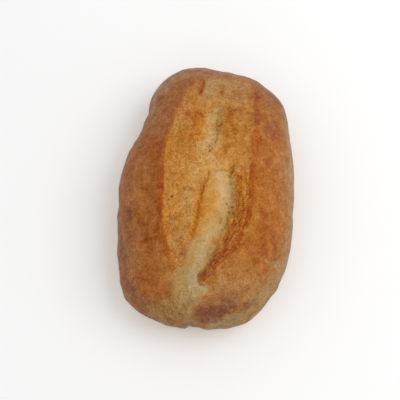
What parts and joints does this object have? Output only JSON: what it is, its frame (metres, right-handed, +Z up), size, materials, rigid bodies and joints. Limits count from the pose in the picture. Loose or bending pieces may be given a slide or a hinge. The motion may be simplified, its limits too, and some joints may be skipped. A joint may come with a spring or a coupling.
{
  "type": "italian bread loaf",
  "caption": "Whole oval hearth-baked loaf of Italian bread, browned crust opened along the top by a long score, with a torn pale crumb flap and a flat base to rest on.",
  "frame": {"origin": "on the ground, under the centre of the loaf's bounding box", "axes": "+Z up from the flat base, +Y along the loaf towards the end with the broad floury top of the score, +X towards the side with the raised ear"},
  "size_m": [0.157, 0.2402, 0.0821],
  "materials": {
    "crust": null
  },
  "bodies": {
    "root": {"loaf": "crust"}
  },
  "joints": []
}
